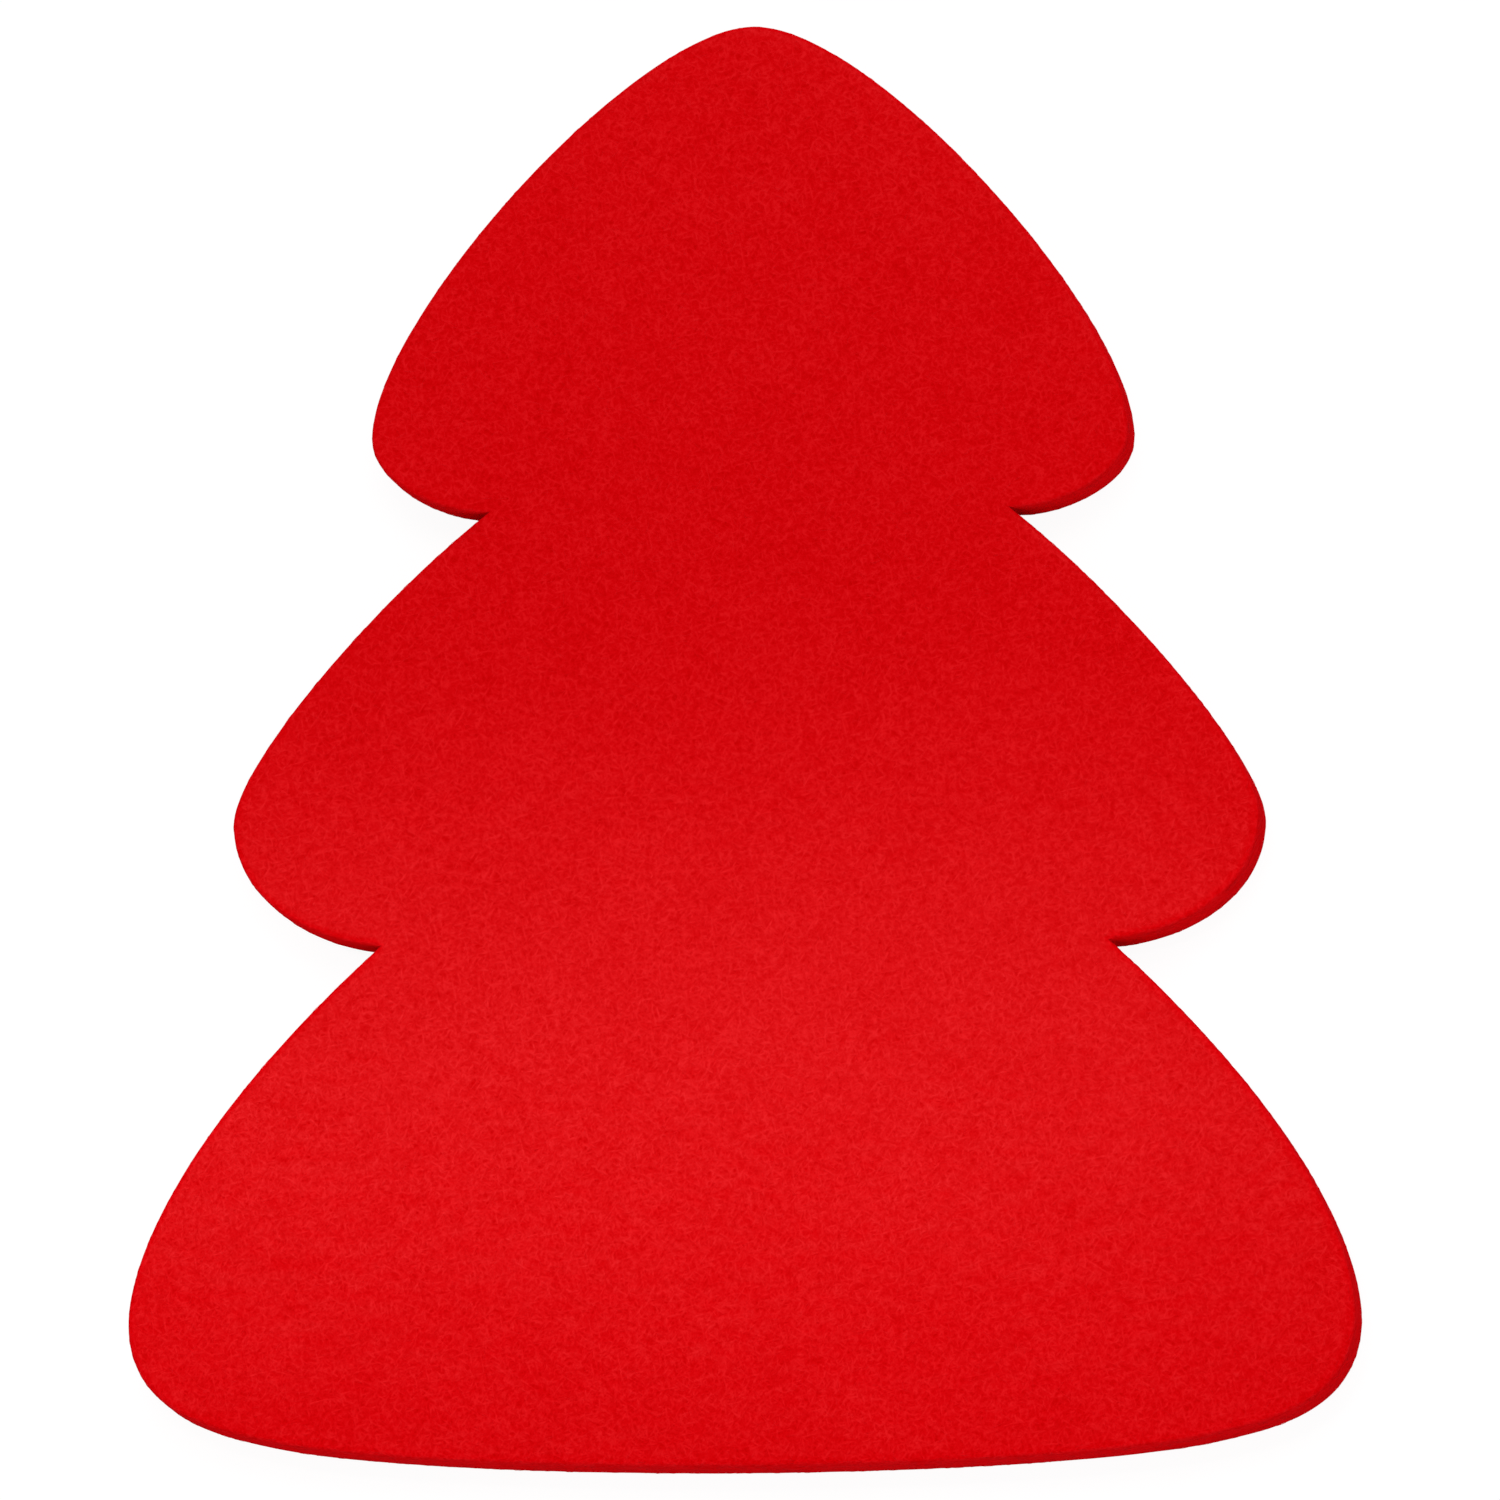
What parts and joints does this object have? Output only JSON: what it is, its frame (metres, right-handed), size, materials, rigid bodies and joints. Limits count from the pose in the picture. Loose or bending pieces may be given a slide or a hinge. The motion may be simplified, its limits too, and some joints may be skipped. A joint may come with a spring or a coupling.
{
  "type": "felt christmas tree",
  "caption": "Flat tree with rounded tiers, die-cut from thick felt, that lies on a table as a mat or a decoration.",
  "frame": {"origin": "on the underside, under the middle of the tree's length and width", "axes": "+Y from the foot to the tip, +Z out of the upper face, +X across the tiers"},
  "size_m": [0.102, 0.12, 0.005],
  "materials": {
    "red_felt": "matte pressed red felt with a fine short nap and a clean cut edge"
  },
  "bodies": {
    "root": {"felt_tree": "red_felt"}
  },
  "joints": []
}
